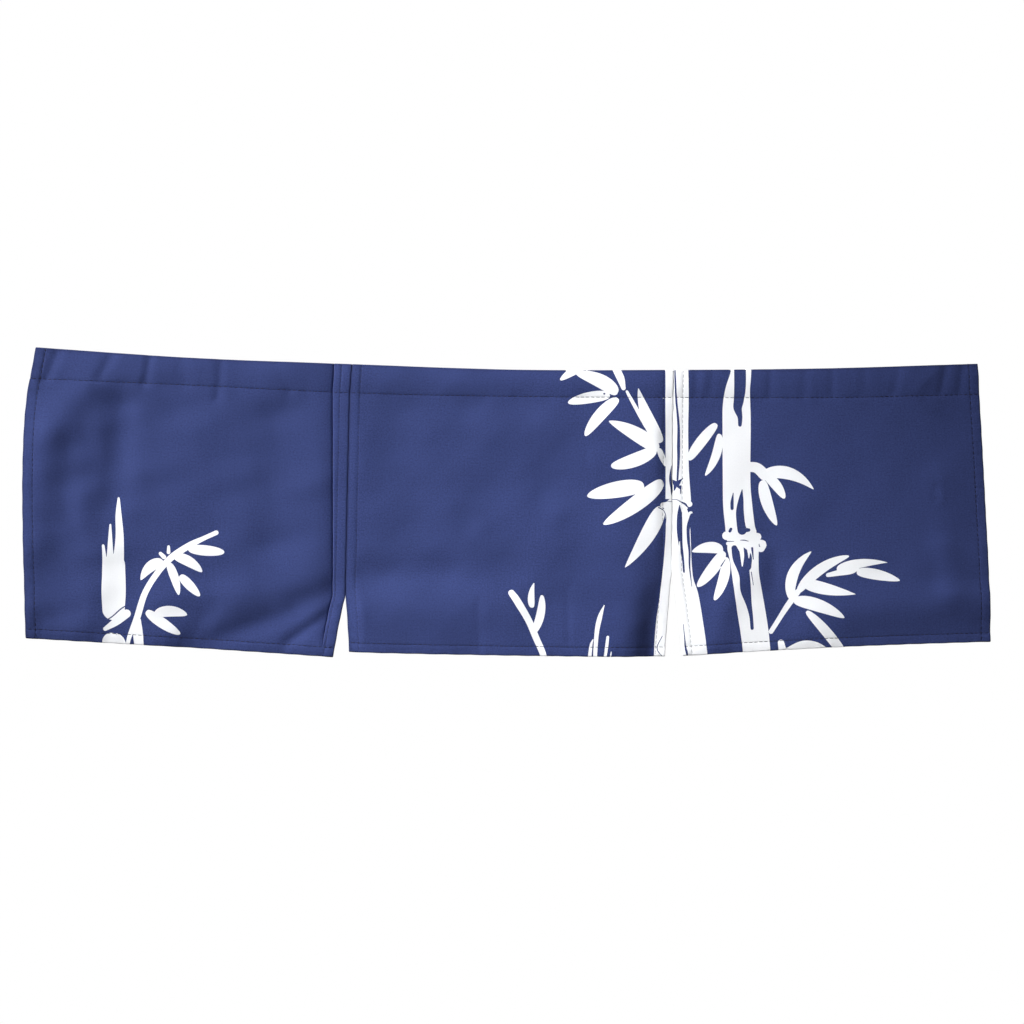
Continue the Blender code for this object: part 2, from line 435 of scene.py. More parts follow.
def ripple(along, phase):
    """Uneven small waves along a line of stitches."""
    wander = RIPPLE_WANDER * np.sin(along / RIPPLE_DRIFT + phase)
    return np.sin(2.0 * math.pi * along / RIPPLE_LENGTH + wander + RIPPLE_PHASE * phase)


def place(number, u, v):
    """X and z of the point u in from the left edge and v down from the top, and its shares."""
    width = WIDTHS[number]
    top, pocket, foot = heights(number, np.clip(u / width, 0.0, 1.0))
    spare = top - foot - pocket - (LENGTH - POCKET)
    below = np.maximum(v - POCKET, 0.0)
    lower = below + spare * ease((below - HEM_WIDTH) / (LENGTH - POCKET - 3.0 * HEM_WIDTH))
    z = top - np.minimum(v, POCKET) * pocket / POCKET - lower
    down = (top - z) / (top - foot)
    stitches_down = pocket / (top - foot)
    left = edge_x(number, LEFT, down, stitches_down)
    right = edge_x(number, RIGHT, down, stitches_down)
    x = left + u + (right - left - width) * ease((u - 1.5 * HEM_WIDTH) / (width - 3.0 * HEM_WIDTH))
    x = x + WAVINESS * bump(u, HEM_WIDTH) * ripple(z * WAVE_STRETCH, number)
    x = x + WAVINESS * bump(width - u, HEM_WIDTH) * ripple(z * WAVE_STRETCH, number + 1)
    z = z + WAVINESS * bump(LENGTH - v, HEM_WIDTH) * ripple(u * WAVE_STRETCH, number + FOOT_SEAM)
    return x, z, down, stitches_down


def unplace(number, x, z):
    """The u and v that place() puts at x and z, also beyond the edges, found step by step."""
    width = WIDTHS[number]
    u = x - edge_x(number, LEFT, 0.5, POCKET / LENGTH)
    v = -z
    for _ in range(UNPLACE_ROUNDS):
        at_x, at_z = place(number, u, v)[:2]
        u = u + x - at_x
        v = v + at_z - z
    return u, v


# -------- folds and creases


def fold_height(fold, x, z):
    """How far one fold lifts the cloth at a point, with rounded ends to its line."""
    run_x = fold.x1 - fold.x0
    run_z = fold.z1 - fold.z0
    along = ((x - fold.x0) * run_x + (z - fold.z0) * run_z) / (run_x ** 2 + run_z ** 2)
    along = np.clip(along, 0.0, 1.0)
    off_x = x - fold.x0 - along * run_x
    off_z = z - fold.z0 - along * run_z
    return fold.height * np.exp(-(off_x ** 2 + off_z ** 2) / fold.reach ** 2)


def slack(x, z, number):
    """Shallow unevenness of hanging cloth: a few long waves that run in different directions."""
    waves = np.random.default_rng(SLACK_SEED + number)
    total = np.zeros_like(x)
    for length, height in SLACK_WAVES:
        heading_angle = waves.uniform(0.0, math.pi)
        phase = waves.uniform(0.0, 2.0 * math.pi)
        run = x * math.cos(heading_angle) + z * math.sin(heading_angle)
        total += height * np.sin(2.0 * math.pi * run / length + phase)
    return total * SLACKNESS[number]


def sewing(number, u, v):
    """Ripples, grooves and swelling that the stitches give the cloth, whose foot rolls back."""
    width = WIDTHS[number]
    side = np.minimum(u, width - u)
    foot = LENGTH - v
    height = bump(side - SIDE_RIPPLE_AT, RIPPLE_REACH) * ripple(v, number + (u > width / 2.0))
    height += bump(foot - FOOT_RIPPLE_AT, RIPPLE_REACH) * ripple(u, number + FOOT_SEAM)
    height += bump(v - POCKET, RIPPLE_REACH) * ripple(u * TOP_STRETCH, number + TOP_SEAM)
    swell = np.sin(math.pi * np.clip(side / SIDE_STITCH, 0.0, 1.0))
    swell += np.sin(math.pi * np.clip(foot / FOOT_STITCH, 0.0, 1.0))
    height = RIPPLE_HEIGHT * height + HEM_SWELL * swell - FOOT_ROLL * bump(foot, FOOT_STITCH)
    return height - GROOVE_DEPTH * stitch_lines(number, u, v)


def stitch_lines(number, u, v):
    """1 on a line of stitches, falling to 0 beside it."""
    side = np.minimum(u, WIDTHS[number] - u)
    lines = np.maximum(bump(side - SIDE_STITCH, GROOVE_REACH), bump(v - POCKET, GROOVE_REACH))
    return np.maximum(lines, bump(LENGTH - v - FOOT_STITCH, GROOVE_REACH))


def crease_place(v):
    """Distance of the left panel's pressed crease from its inner edge, v down from the top."""
    return mix(CREASE_TOP, CREASE_FOOT, np.clip(v / CREASE_DRIFT, 0.0, 1.0))


def pressed_crease(u, v):
    """Depth of the left panel's pressed crease: a steep wall beside the hem, a slope before it."""
    beyond = WIDTHS[0] - u - crease_place(v)
    slope = CREASE_DEPTH * np.exp(-np.maximum(beyond, 0.0) / CREASE_WIDTH)
    slope += CREASE_SHOULDER * bump(np.maximum(beyond, 0.0), CREASE_SHOULDER_WIDTH)
    wall = bump(np.minimum(beyond, 0.0), CREASE_WALL)
    return -slope * wall * (1.0 - ease((v - LENGTH + CREASE_END) / CREASE_FADE))


def cloth_height(number, u, v, x, z, down, stitches_down):
    """How far the front of a panel stands out at a point."""
    height = sum(fold_height(Fold(*row), x, z) for row in FOLDS[number]) + slack(x, z, number)
    for edge in (LEFT, RIGHT):
        if slit_beside(number, edge) is None:
            continue
        curl = CURLS[number, edge]
        distance = np.abs(x - edge_x(number, edge, down, stitches_down))
        share = opened(slit_beside(number, edge), down)
        limp = np.maximum(distance - STIFF_EDGE, 0.0)
        height = height * ease(distance / HEM_STIFFNESS)
        height = height + curl.height * ease(share) * bump(limp, curl.reach)
        stagger = SLIT_STAGGER if edge == RIGHT else -SLIT_STAGGER
        height = height + stagger * bump(distance, STAGGER_REACH) * (1.0 - ease(share / STAGGER_FADE))
    if number == 0:
        height = height + pressed_crease(u, v)
    if number == 1:
        fall = ease((v - RECESS_FROM) / (RECESS_TO - RECESS_FROM))
        limp = np.maximum(WIDTHS[1] - u - STIFF_EDGE, 0.0)
        height = height - RECESS_DEPTH * fall * bump(limp, RECESS_REACH)
        stiff = np.clip((WIDTHS[1] - u) / STIFF_EDGE, 0.0, 1.0)
        height = height + HEM_SPRING * fall * (1.0 - stiff)
    return height + sewing(number, u, v)


# -------- turning the cloth over


def turn(distance, radius):
    """Turn cloth over an edge. distance runs along the cloth, inward from the edge.

    Gives the place inward from the edge, the height above the unturned cloth, and the angle.
    """
    angle = np.clip((radius - distance) / radius, 0.0, math.pi)
    ahead = np.maximum(distance - radius, 0.0)
    past = np.maximum(radius - math.pi * radius - distance, 0.0)
    return radius * (1.0 - np.sin(angle)) + ahead + past, radius * (1.0 - np.cos(angle)), angle


def tucked_in(along):
    """How far half the cloth's thickness draws it in, at a place inward from a fold."""
    return CLOTH / 2.0 * (1.0 - ease(along / TUCK_REACH))


def hem(distance, radius):
    """Turn cloth over an edge, and its raw edge under again at the hem's width."""
    along, rise, angle = turn(distance, radius)
    flap = distance < radius - math.pi * radius
    under_along, under_rise, under_angle = turn(HEM_WIDTH - along, radius / 2.0)
    along = np.where(flap, HEM_WIDTH - under_along, along)
    rise = np.where(flap, rise - under_rise, rise)
    angle = np.where(flap, angle + under_angle, angle)
    return along + tucked_in(along), rise, angle


def flap_length(radius):
    """Cloth beyond an edge up to where its raw edge starts to turn under."""
    return HEM_WIDTH - 1.5 * radius + math.pi * radius - radius


def foot_radius(number, u):
    """Radius of the fold at the foot, which is rounder over the side hems."""
    inward = np.minimum(u, WIDTHS[number] - u) - HEM_WIDTH
    return LAYER * mix(CORNER_BULK, 1.0, ease(inward / CORNER_FADE))


def pocket_gap(depth):
    """How far the pocket's back stands off the top edge's fold, at a depth below it."""
    down = np.clip(depth / POCKET, 0.0, 1.0)
    blunt = np.sin(math.pi * down)
    blunt = np.where(down < 0.5, np.sqrt(np.maximum(blunt, 0.0)), blunt)
    return np.hypot(POCKET_OPENING * blunt, 2.0 * LAYER * down) + NOSE * (1.0 - ease(down))


def pocket_section(v):
    """Section through the top: depth below the top edge, height to the back, and angle turned."""
    end = POCKET + CASING_MARGIN
    along, rise, under = turn(end + np.minimum(v, 0.0), LAYER / 2.0)
    depth = np.where(v < 0.0, end - along, v)
    bulge = POCKET_BULGE * np.sin(math.pi * np.clip(depth / POCKET, 0.0, 1.0))
    short = np.maximum(NOSE - depth, 0.0)
    front = NOSE - np.sqrt(np.maximum(NOSE ** 2 - short ** 2, 0.0)) - bulge
    front_angle = np.arcsin(np.clip(short / NOSE, 0.0, 1.0))
    step = 1e-4
    slope = (pocket_gap(depth + step) - pocket_gap(np.maximum(depth - step, 0.0))) / (2.0 * step)
    back = pocket_gap(depth) - rise - bulge
    back_angle = np.arctan2(slope, -1.0) + under
    is_back = v < 0.0
    return depth, np.where(is_back, back, front), np.where(is_back, back_angle, front_angle)


def cloth_point(number, u, v):
    """Where a point of the flat cloth ends up when its edges are turned and it hangs, in mm."""
    width = WIDTHS[number]
    on_left = u < width / 2.0
    along, side_rise, _ = hem(np.where(on_left, u, width - u), LAYER)
    u_at = np.where(on_left, along, width - along)
    up, foot_rise, foot_angle = hem(LENGTH - v, foot_radius(number, u_at))
    depth, top_rise, top_angle = pocket_section(v)
    in_top = v < LENGTH / 2.0
    angle = np.where(in_top, top_angle, foot_angle)
    rise = np.where(in_top, top_rise, foot_rise)
    v_top = depth + tucked_in(depth) + side_rise * np.sin(angle)
    v_at = np.where(in_top, v_top, LENGTH - up - side_rise * np.sin(angle))
    is_sewn = np.abs(rise) < SEWN_FLAT
    pressed = 1.0 - PRESS * stitch_lines(number, u_at, v_at) * is_sewn
    back = (rise + side_rise * np.cos(angle)) * pressed
    x, z, down, stitches_down = place(number, u_at, v_at)
    height = cloth_height(number, u_at, v_at, x, z, down, stitches_down)
    if number == 0:
        open_pocket = ease((back - OPEN_FROM) / OPEN_REACH) * (v_at < POCKET)
        height = height - pressed_crease(u_at, v_at) * open_pocket
    return np.stack([x, back - height, z], axis=-1)


def cloth_frame(number, u, v):
    """Points of the cloth with the direction its printed face looks in at each."""
    step = 0.01
    point = cloth_point(number, u, v)
    across = cloth_point(number, u + step, v) - cloth_point(number, u - step, v)
    down = cloth_point(number, u, v + step) - cloth_point(number, u, v - step)
    return point, unit(-np.cross(across, down))


# -------- the print

Leaf = namedtuple("Leaf", "x0 z0 x1 z1 width bend taper")

# Leaves, from where they join the twig to the tip: x and z at both, the width, how far the middle
# bows to the left of that line, and how bluntly the tip ends. STALKS, with the twigs, are brush
# strokes along a curve through x, z and the width of the stroke there. The brush left STREAKS in
# them bare, and SLIVERS white between those.
LEFT_LEAVES = (
    (-306, -167, -325, -184, 9.5, -3, 0.7),
    (-284, -157, -253, -160, 9, 0, 0.45),
    (-296, -163, -272, -177, 9, 2, 0.6),
    (-301, -169, -292, -197, 7.5, 1, 0.6),
    (-291, -180, -274, -198, 8, 0, 0.55),
    (-313, -213, -285, -214, 9.5, 2.5, 0.55),
    (-320, -211, -291, -231, 9, -0.5, 0.5),
)
LEFT_STALKS = (
    ((-348, -209, 19), (-348, -193, 20.6), (-348, -171, 19.2)),
    ((-345, -180, 11), (-343, -149, 7.2), (-344, -128, 5.2), (-344, -113, 1.8)),
    ((-351, -177, 8), (-351, -154, 4.4), (-351, -136, 1.6)),
    ((-355, -182, 6), (-356, -164, 3.4), (-357, -154, 2.2)),
    ((-355, -226, 3.6), (-346, -220, 6.6), (-337, -213, 7.4)),
    ((-350, -237, 15), (-347, -241, 20), (-347, -262, 19)),
    ((-337, -260, 3.2), (-336, -242, 3.2), (-334, -232, 3.8), (-328, -217, 5.6), (-321, -195, 5.2),
     (-310, -177, 5.2), (-298, -164, 5.6), (-283, -154, 5.4), (-271, -148, 4), (-260, -143, 4)),
    ((-327, -219, 5), (-327, -231, 8.4), (-324, -260, 6.4)),
    ((-308, -161, 3), (-305, -164, 3.8)),
    ((-301, -155, 2.4), (-301, -160, 3.2)),
)
LEFT_STREAKS = (
    ((-360, -221, 1), (-350, -216, 1), (-342, -209, 1.1), (-337, -206, 1)),
    ((-360, -230, 1), (-350, -227, 1.1), (-341, -222, 1.2), (-335, -220, 1)),
)
MIDDLE_LEAVES = (
    (81, 13, 40, -9, 9, -2, 0.5),
    (91, -20, 54, -3, 12.5, -3, 0.6),
    (84, -22, 47, -29, 10, -1, 0.5),
    (91, -25, 62, -58, 10.5, -2, 0.5),
    (129, -64, 109, -16, 11.5, 2.5, 0.8),
    (127, -70, 83, -45, 13, -2, 0.7),
    (125, -70, 85, -85, 12, 2, 0.45),
    (127, -69, 134, -85, 5.5, 0, 0.6),
    (114, -102, 64, -111, 14.5, -1, 0.55),
    (131, -98, 78, -136, 14, 2, 0.6),
    (130, -121, 97, -174, 14, 2, 0.85),
    (15, -209, 17, -187, 6, 1.5, 0.8),
    (16, -232, 24, -198, 7.5, -2.5, 0.4),
)
MIDDLE_STALKS = (
    ((85, 18, 6), (87, 7, 6), (93, -6, 6.8), (96, -16, 3.8)),
    ((99, -19, 2.4), (105, -30, 3.2), (110, -39, 3.6), (116, -49, 4.4)),
    ((-3, -196, 5.6), (2, -203, 6.4), (12, -220, 6), (18, -234, 5.8), (24, -248, 5.6),
     (28, -262, 5.6)),
    ((27, -258, 12), (37, -259, 11)),
    ((79, -207, 0.8), (75, -218, 4), (72, -233, 3.8), (70, -263, 3.2)),
    ((69, -237, 0.8), (67, -243, 2.6), (65, -263, 3.6)),
    ((82, -235, 2.4), (81, -243, 2.8), (78, -263, 2.2)),
    ((85, -248, 0.8), (83, -263, 2)),
    ((144, 23, 20.4), (144, -26, 21), (144, -106, 20.8), (144, -114, 21.8)),
    ((143, -123, 21.8), (144, -136, 20.2), (143, -167, 21.4), (141, -204, 25), (140, -228, 28.6),
     (139, -263, 29.6)),
    ((131, -119, 4.6), (138, -119, 6.4), (151, -120, 6.4)),
)
MIDDLE_STREAKS = (
    ((139, -84, 0.4), (138, -95, 2.4), (139, -104, 2), (139, -110, 0.4)),
    ((133, -91, 0.6), (133, -102, 0.7), (130, -112, 1)),
    ((127, -121, 1), (132, -124, 0.7), (134, -130, 0.7), (133, -139, 1)),
    ((131, -115, 0.4), (140, -116, 0.5)),
    ((132, -235, 0.6), (128, -243, 0.8), (128, -248, 0.7), (132, -253, 0.5)),
    ((79, -21, 1.8), (80, -21, 0.8)),
)
RIGHT_LEAVES = (
    (179, -47, 154, -79, 9.5, -1, 0.35),
    (182, -56, 169, -93, 8, 3, 0.6),
    (220, -91, 266, -105, 11.5, 7, 0.75),
    (222, -91, 240, -113, 9, 1.5, 0.5),
    (220, -97, 233, -137, 10.5, -2, 0.6),
    (185, -158, 157, -160, 10, -2.5, 0.7),
    (186, -160, 162, -191, 10.5, 1, 0.5),
    (188, -165, 177, -203, 9, 2.5, 0.5),
    (246, -203, 264, -160, 10, 7, 0.65),
    (252, -196, 298, -164, 9.5, 5, 0.55),
    (287, -176, 333, -170, 8.5, 2.5, 0.9),
    (305, -178, 344, -186, 9.5, 1, 0.65),
    (257, -188, 304, -198, 11, -1, 0.9),
    (249, -203, 294, -219, 11.5, 2.5, 0.65),
    (260, -213, 300, -261, 9, 2, 0.3),
)
RIGHT_STALKS = (
    ((143, 23, 21.6), (143, 0, 21.6), (143, -28, 22.4), (143, -52, 21.6), (143, -88, 22.8),
     (144, -114, 24.4)),
    ((143, -121, 6.8), (155, -118, 5)),
    ((142, -123, 20), (143, -129, 23), (143, -138, 25), (143, -154, 26.4), (143, -169, 27.6),
     (143, -185, 31), (144, -199, 37.6), (145, -221, 43), (146, -243, 47), (147, -263, 50)),
    ((156, -126, 3.4), (154, -128, 4)),
    ((201, 23, 18.4), (201, 0, 18.2), (198, -17, 22), (197, -31, 24.6), (197, -48, 25.2),
     (197, -97, 24.8), (198, -119, 26), (200, -137, 26.4), (201, -144, 28)),
    ((188, -146, 7.6), (197, -147, 7.4), (208, -147, 7.4), (216, -147, 6.8)),
    ((189, -153, 3), (205, -153, 5.6), (220, -153, 6.6), (219, -157, 7.2)),
    ((203, -157, 28.6), (204, -168, 25.6), (205, -181, 24.4), (207, -194, 24.8), (210, -212, 25.4),
     (213, -230, 25.2), (215, -247, 24.8), (216, -263, 24.8)),
    ((206, -85, 8.4), (215, -86, 9.2), (222, -92, 10)),
    ((228, -231, 4.2), (236, -219, 4.4), (244, -207, 5.2), (252, -196, 5.2)),
    ((279, -181, 3.6), (289, -179, 5.2), (300, -177, 6), (306, -175, 3)),
    ((237, -241, 5.6), (240, -256, 9)),
    ((243, -252, 12), (257, -248, 16.8), (269, -249, 16), (282, -252, 6.4)),
)
RIGHT_STREAKS = (
    ((142, 18, 1.2), (142, -8, 1.5), (143, -26, 1.7), (145, -48, 2.2), (145, -66, 2.8),
     (145, -79, 2.4), (144, -97, 1.6)),
    ((140, -97, 1.2), (143, -100, 5.2), (147, -97, 1.6), (149, -95, 0.8)),
    ((141, -106, 1), (143, -101, 4), (147, -105, 0.8)),
    ((147, -102, 1.6), (147, -109, 0.6)),
    ((139, -114, 0.6), (143, -114, 0.7), (147, -116, 0.8), (151, -118, 1.8), (154, -121, 1),
     (160, -122, 1)),
    ((146, -119, 0.8), (146, -128, 4.4), (146, -141, 5), (147, -154, 3.6), (149, -166, 2),
     (150, -178, 1.6)),
    ((158, -129, 6), (154, -138, 3.2), (154, -150, 2.6), (155, -160, 2), (155, -173, 1.4),
     (157, -191, 0.4)),
    ((149, -224, 0.5), (150, -235, 0.9), (151, -245, 1.8), (152, -249, 2), (153, -255, 0.6)),
    ((200, 23, 10.4), (200, -12, 10.4), (199, -26, 9), (198, -33, 7.6), (200, -41, 4.4),
     (200, -48, 3.2)),
    ((194, -108, 0.6), (193, -116, 2.8), (193, -122, 2.8)),
    ((202, -105, 0.6), (201, -114, 4.4), (200, -125, 7), (201, -136, 7.6), (202, -141, 8.4)),
    ((202, -141, 5.2), (208, -141, 3)),
    ((192, -140, 2.4), (191, -142, 2.6)),
    ((189, -151, 0.8), (195, -151, 0.4)),
    ((200, -150, 0.4), (204, -150, 0.9), (208, -151, 0.4)),
    ((195, -157, 5.2), (198, -166, 9.2), (202, -173, 11.2), (204, -182, 9.6), (205, -194, 9.6),
     (208, -207, 5.2), (210, -217, 3.4), (211, -228, 3)),
    ((202, -158, 4.4), (207, -164, 6.8), (206, -173, 8.4)),
    ((211, -157, 2), (212, -167, 0.8)),
    ((210, -178, 0.8), (212, -190, 0.5)),
    ((187, -167, 0.5), (185, -170, 0.9), (183, -173, 1.2)),
)
RIGHT_SLIVERS = (
    ((146, -151, 0.6), (146, -159, 1.6), (146, -167, 2.2)),
    ((201, -154, 4.2), (202, -164, 3.4), (202, -173, 1)),
    ((207, -154, 3.8), (208, -160, 2.6), (208, -166, 0.6)),
)
# Each panel's leaves, and its strokes in the order that they are laid down.
PRINTS = (
    (LEFT_LEAVES, ((WHITE, LEFT_STALKS), (NAVY, LEFT_STREAKS))),
    (MIDDLE_LEAVES, ((WHITE, MIDDLE_STALKS), (NAVY, MIDDLE_STREAKS))),
    (RIGHT_LEAVES, ((WHITE, RIGHT_STALKS), (NAVY, RIGHT_STREAKS), (WHITE, RIGHT_SLIVERS))),
)
# How full a leaf is where it starts, how many points it has to a step, and the least width of a
# stroke.
LEAF_SWELL = 0.35
LEAF_FINENESS = 1.6
THINNEST = 0.1


def smooth_line(stations, step):
    """Points on a smooth curve through stations of x, z and width, about a step apart."""
    rows = np.array(stations, float)
    before = np.vstack([2.0 * rows[0] - rows[1], rows[:-1]])
    after = np.vstack([rows[1:], 2.0 * rows[-1] - rows[-2]])
    tangent = (after - before) / 2.0
    line = [rows[:1]]
    for i in range(len(rows) - 1):
        length = np.linalg.norm(rows[i + 1, :2] - rows[i, :2])
        t = np.linspace(0.0, 1.0, max(3, math.ceil(length / step) + 1))[1:, None]
        part = (2 * t ** 3 - 3 * t ** 2 + 1) * rows[i] + (t ** 3 - 2 * t ** 2 + t) * tangent[i]
        part += (3 * t ** 2 - 2 * t ** 3) * rows[i + 1] + (t ** 3 - t ** 2) * tangent[i + 1]
        line.append(part)
    return np.vstack(line)


def stroke_outline(line):
    """Outline of a stroke of changing width along a line, with round ends."""
    run = unit(np.gradient(line[:, :2], axis=0))
    beside = np.stack([-run[:, 1], run[:, 0]], axis=1)
    half = np.maximum(line[:, 2:3], THINNEST) / 2.0
    ends = []
    for index, way in ((-1, 1.0), (0, -1.0)):
        radius = half[index, 0]
        count = max(2, math.ceil(math.pi * radius / OUTLINE_STEP))
        angles = np.linspace(math.pi / 2.0, -math.pi / 2.0, count + 1)[1:-1, None]
        round_part = way * (np.cos(angles) * run[index] + np.sin(angles) * beside[index])
        ends.append(line[index, :2] + radius * round_part)
    left_side = line[:, :2] + half * beside
    right_side = line[::-1, :2] - (half * beside)[::-1]
    return np.vstack([left_side, ends[0], right_side, ends[1]])


def leaf_outline(leaf):
    """Outline of a leaf as one press of a brush: broad and round where it starts, then tapering."""
    start = np.array([leaf.x0, leaf.z0], float)
    run = np.array([leaf.x1, leaf.z1], float) - start
    length = np.linalg.norm(run)
    beside = np.array([-run[1], run[0]]) / length
    turned = np.linspace(0.0, math.pi, math.ceil(LEAF_FINENESS * length / OUTLINE_STEP) + 1)
    share = (1.0 - np.cos(turned)) / 2.0
    fullest = LEAF_SWELL / (LEAF_SWELL + leaf.taper)
    most = fullest ** LEAF_SWELL * (1.0 - fullest) ** leaf.taper
    half = leaf.width / 2.0 * share ** LEAF_SWELL * (1.0 - share) ** leaf.taper / most
    bow = leaf.bend * 4.0 * share * (1.0 - share)
    middle = start + share[:, None] * run + bow[:, None] * beside
    one_side = middle + half[:, None] * beside
    other_side = middle - half[:, None] * beside
    return np.vstack([one_side, other_side[-2:0:-1]])


def evenly(outline, step):
    """A closed outline again, with points about a step apart."""
    closed = np.vstack([outline, outline[:1]])
    lengths = np.concatenate([[0.0], np.cumsum(np.linalg.norm(np.diff(closed, axis=0), axis=1))])
    count = max(6, math.ceil(lengths[-1] / step))
    at = np.linspace(0.0, lengths[-1], count + 1)[:-1]
    return np.stack([np.interp(at, lengths, closed[:, k]) for k in range(2)], axis=1)


def print_outlines(number):
    """The panel's printed shapes in the order they are laid down, as (colour, flat outline)."""
    leaves, layers = PRINTS[number]
    shapes = [(WHITE, leaf_outline(Leaf(*row))) for row in leaves]
    for colour, strokes in layers:
        for stations in strokes:
            shapes.append((colour, stroke_outline(smooth_line(stations, OUTLINE_STEP))))
    flat = []
    for colour, outline in shapes:
        x, z = evenly(outline, OUTLINE_STEP).T
        flat.append((colour, np.stack(unplace(number, x, z), axis=1)))
    return flat


# -------- the flat sheet


def sheet_outline(number):
    """Outline of the flat cloth, cut back at the corners so that it turns over neatly."""
    width = WIDTHS[number]
    flap = flap_length(LAYER)
    lip = flap + TURNED_UNDER
    inner = HEM_WIDTH + LIP_MARGIN
    casing = -(POCKET + CASING_MARGIN) + LAYER
    return np.array([
        (inner, casing - TURNED_UNDER), (width - inner, casing - TURNED_UNDER),
        (width - inner, casing), (width + lip, casing), (width + lip, LENGTH - LIP_MARGIN),
        (width + flap, LENGTH - LIP_MARGIN), (width + flap, LENGTH + flap),
        (width - inner, LENGTH + flap), (width - inner, LENGTH + lip),
        (inner, LENGTH + lip), (inner, LENGTH + flap), (-flap, LENGTH + flap),
        (-flap, LENGTH - LIP_MARGIN), (-lip, LENGTH - LIP_MARGIN), (-lip, casing),
        (inner, casing),
    ])


def spaced(start, end, step):
    """Even steps from start to end, both included."""
    return np.linspace(start, end, max(2, math.ceil(abs(end - start) / step) + 1))


def seam_lines(start, seam, step):
    """Distances from start up to a seam and across it."""
    near = seam - SEAM_REACH
    return [spaced(start, near, step), spaced(near, seam + SEAM_REACH, SEAM_STEP)]


def turned_under_lines(fold, raw_edge):
    """Distances from where cloth starts to turn under, at fold, round it and out to its raw edge."""
    round_end = fold - math.pi * LAYER / 2.0
    return [spaced(fold, round_end, TURN_STEP), spaced(round_end, raw_edge, UNDER_STEP)]


def merged(lines):
    """All distances in order, without repeats."""
    return np.unique(np.round(np.concatenate(lines), 4))


def inward_lines():
    """Distances from an upright edge at which the flat sheet has lines of points."""
    flap = -flap_length(LAYER)
    arc_end = LAYER - math.pi * LAYER
    lines = [spaced(LAYER, arc_end, FOLD_STEP), spaced(arc_end, flap, GRID_STEP)]
    lines += turned_under_lines(flap, flap - TURNED_UNDER) + seam_lines(LAYER, SIDE_STITCH, HEM_STEP)
    lines.append(spaced(SIDE_STITCH + SEAM_REACH, 2.0 * HEM_WIDTH, BESIDE_HEM_STEP))
    return merged(lines)


def foot_lines():
    """Distances up from the foot at which the flat sheet has lines of points."""
    flap = -flap_length(LAYER)
    start, end = FOOT_FOLD
    lines = [spaced(start, end, FOOT_FOLD_STEP), spaced(end, flap, GRID_STEP)]
    lines += turned_under_lines(flap, flap - TURNED_UNDER) + seam_lines(start, FOOT_STITCH, HEM_STEP)
    return merged(lines)


def top_lines():
    """Distances down from the top edge at which the flat sheet has lines of points."""
    fold = LAYER / 2.0 - POCKET - CASING_MARGIN
    nose = NOSE * (1.0 - np.cos(np.linspace(0.0, math.pi / 2.0, NOSE_POINTS)))
    back = POCKET * (1.0 - np.cos(np.linspace(0.0, math.pi, POCKET_BACK_POINTS))) / 2.0
    lines = [nose, -back] + seam_lines(NOSE, POCKET, POCKET_STEP)
    return merged(lines + turned_under_lines(fold, fold + LAYER / 2.0 - TURNED_UNDER))


def grid_lines(number):
    """Columns and rows of the flat sheet's points: close together where it turns or is sewn."""
    width = WIDTHS[number]
    near = inward_lines()
    middle = spaced(near[-1], width - near[-1], GRID_STEP)[1:-1]
    columns = np.concatenate([near, middle, width - near])
    if number == 0:
        beyond = width - columns - CREASE_TOP
        columns = columns[(beyond < CREASE_BAND[0]) | (beyond > CREASE_BAND[1])]
        columns = np.concatenate([columns, width - CREASE_TOP - CREASE_COLUMNS])
    top = top_lines()
    foot = foot_lines()
    body = spaced(top[-1], LENGTH - foot[-1], GRID_STEP)[1:-1]
    return np.sort(columns), np.sort(np.concatenate([top, body, LENGTH - foot]))


def follow_crease(number, u, v):
    """Move points of the left panel sideways with its pressed crease, so that they line up on it."""
    if number != 0:
        return u
    beside = WIDTHS[0] - u
    follow = ease((beside - SIDE_STITCH - FOLLOW_PAST) / FOLLOW_OVER)
    follow = follow * (1.0 - ease((beside - FOLLOW_UNTIL) / LEAVE_OVER))
    return u - (crease_place(v) - CREASE_TOP) * follow


def cut_where_lines_cross(number, outline, columns, rows):
    """The outline with a point added wherever one of the grid's lines meets it."""
    points = []
    for (u0, v0), (u1, v1) in zip(outline, np.roll(outline, -1, axis=0)):
        level = abs(v1 - v0) < abs(u1 - u0)
        start, end = (u0, u1) if level else (v0, v1)
        lines = columns if level else rows
        clear = CLEAR_OF_OUTLINE / 2.0
        between = lines[(lines > min(start, end) + clear) & (lines < max(start, end) - clear)]
        between = between if end > start else between[::-1]
        points.append((u0, v0))
        if level:
            points += [(follow_crease(number, u, v0), v0) for u in between]
        else:
            points += [(u0, v) for v in between]
    return np.array(points, float)


def inside(points, outline):
    """Which points lie inside a closed outline."""
    x, y = points.T
    found = np.zeros(len(points), bool)
    for (x0, y0), (x1, y1) in zip(outline, np.roll(outline, -1, axis=0)):
        if y0 != y1:
            crosses = (y0 > y) != (y1 > y)
            found ^= crosses & (x < x0 + (y - y0) * (x1 - x0) / (y1 - y0))
    return found


def clear_of(points, fixed, gap):
    """Which points have no fixed point nearer than the gap."""
    tree = KDTree(len(fixed))
    for index, point in enumerate(fixed):
        tree.insert((*point, 0.0), index)
    tree.balance()
    return np.array([tree.find((*point, 0.0))[2] > gap for point in points])


def counter_clockwise(outline):
    """An outline with its points in counter-clockwise order."""
    x, y = outline.T
    area = np.sum(x * np.roll(y, -1) - np.roll(x, -1) * y)
    return outline if area > 0.0 else outline[::-1]


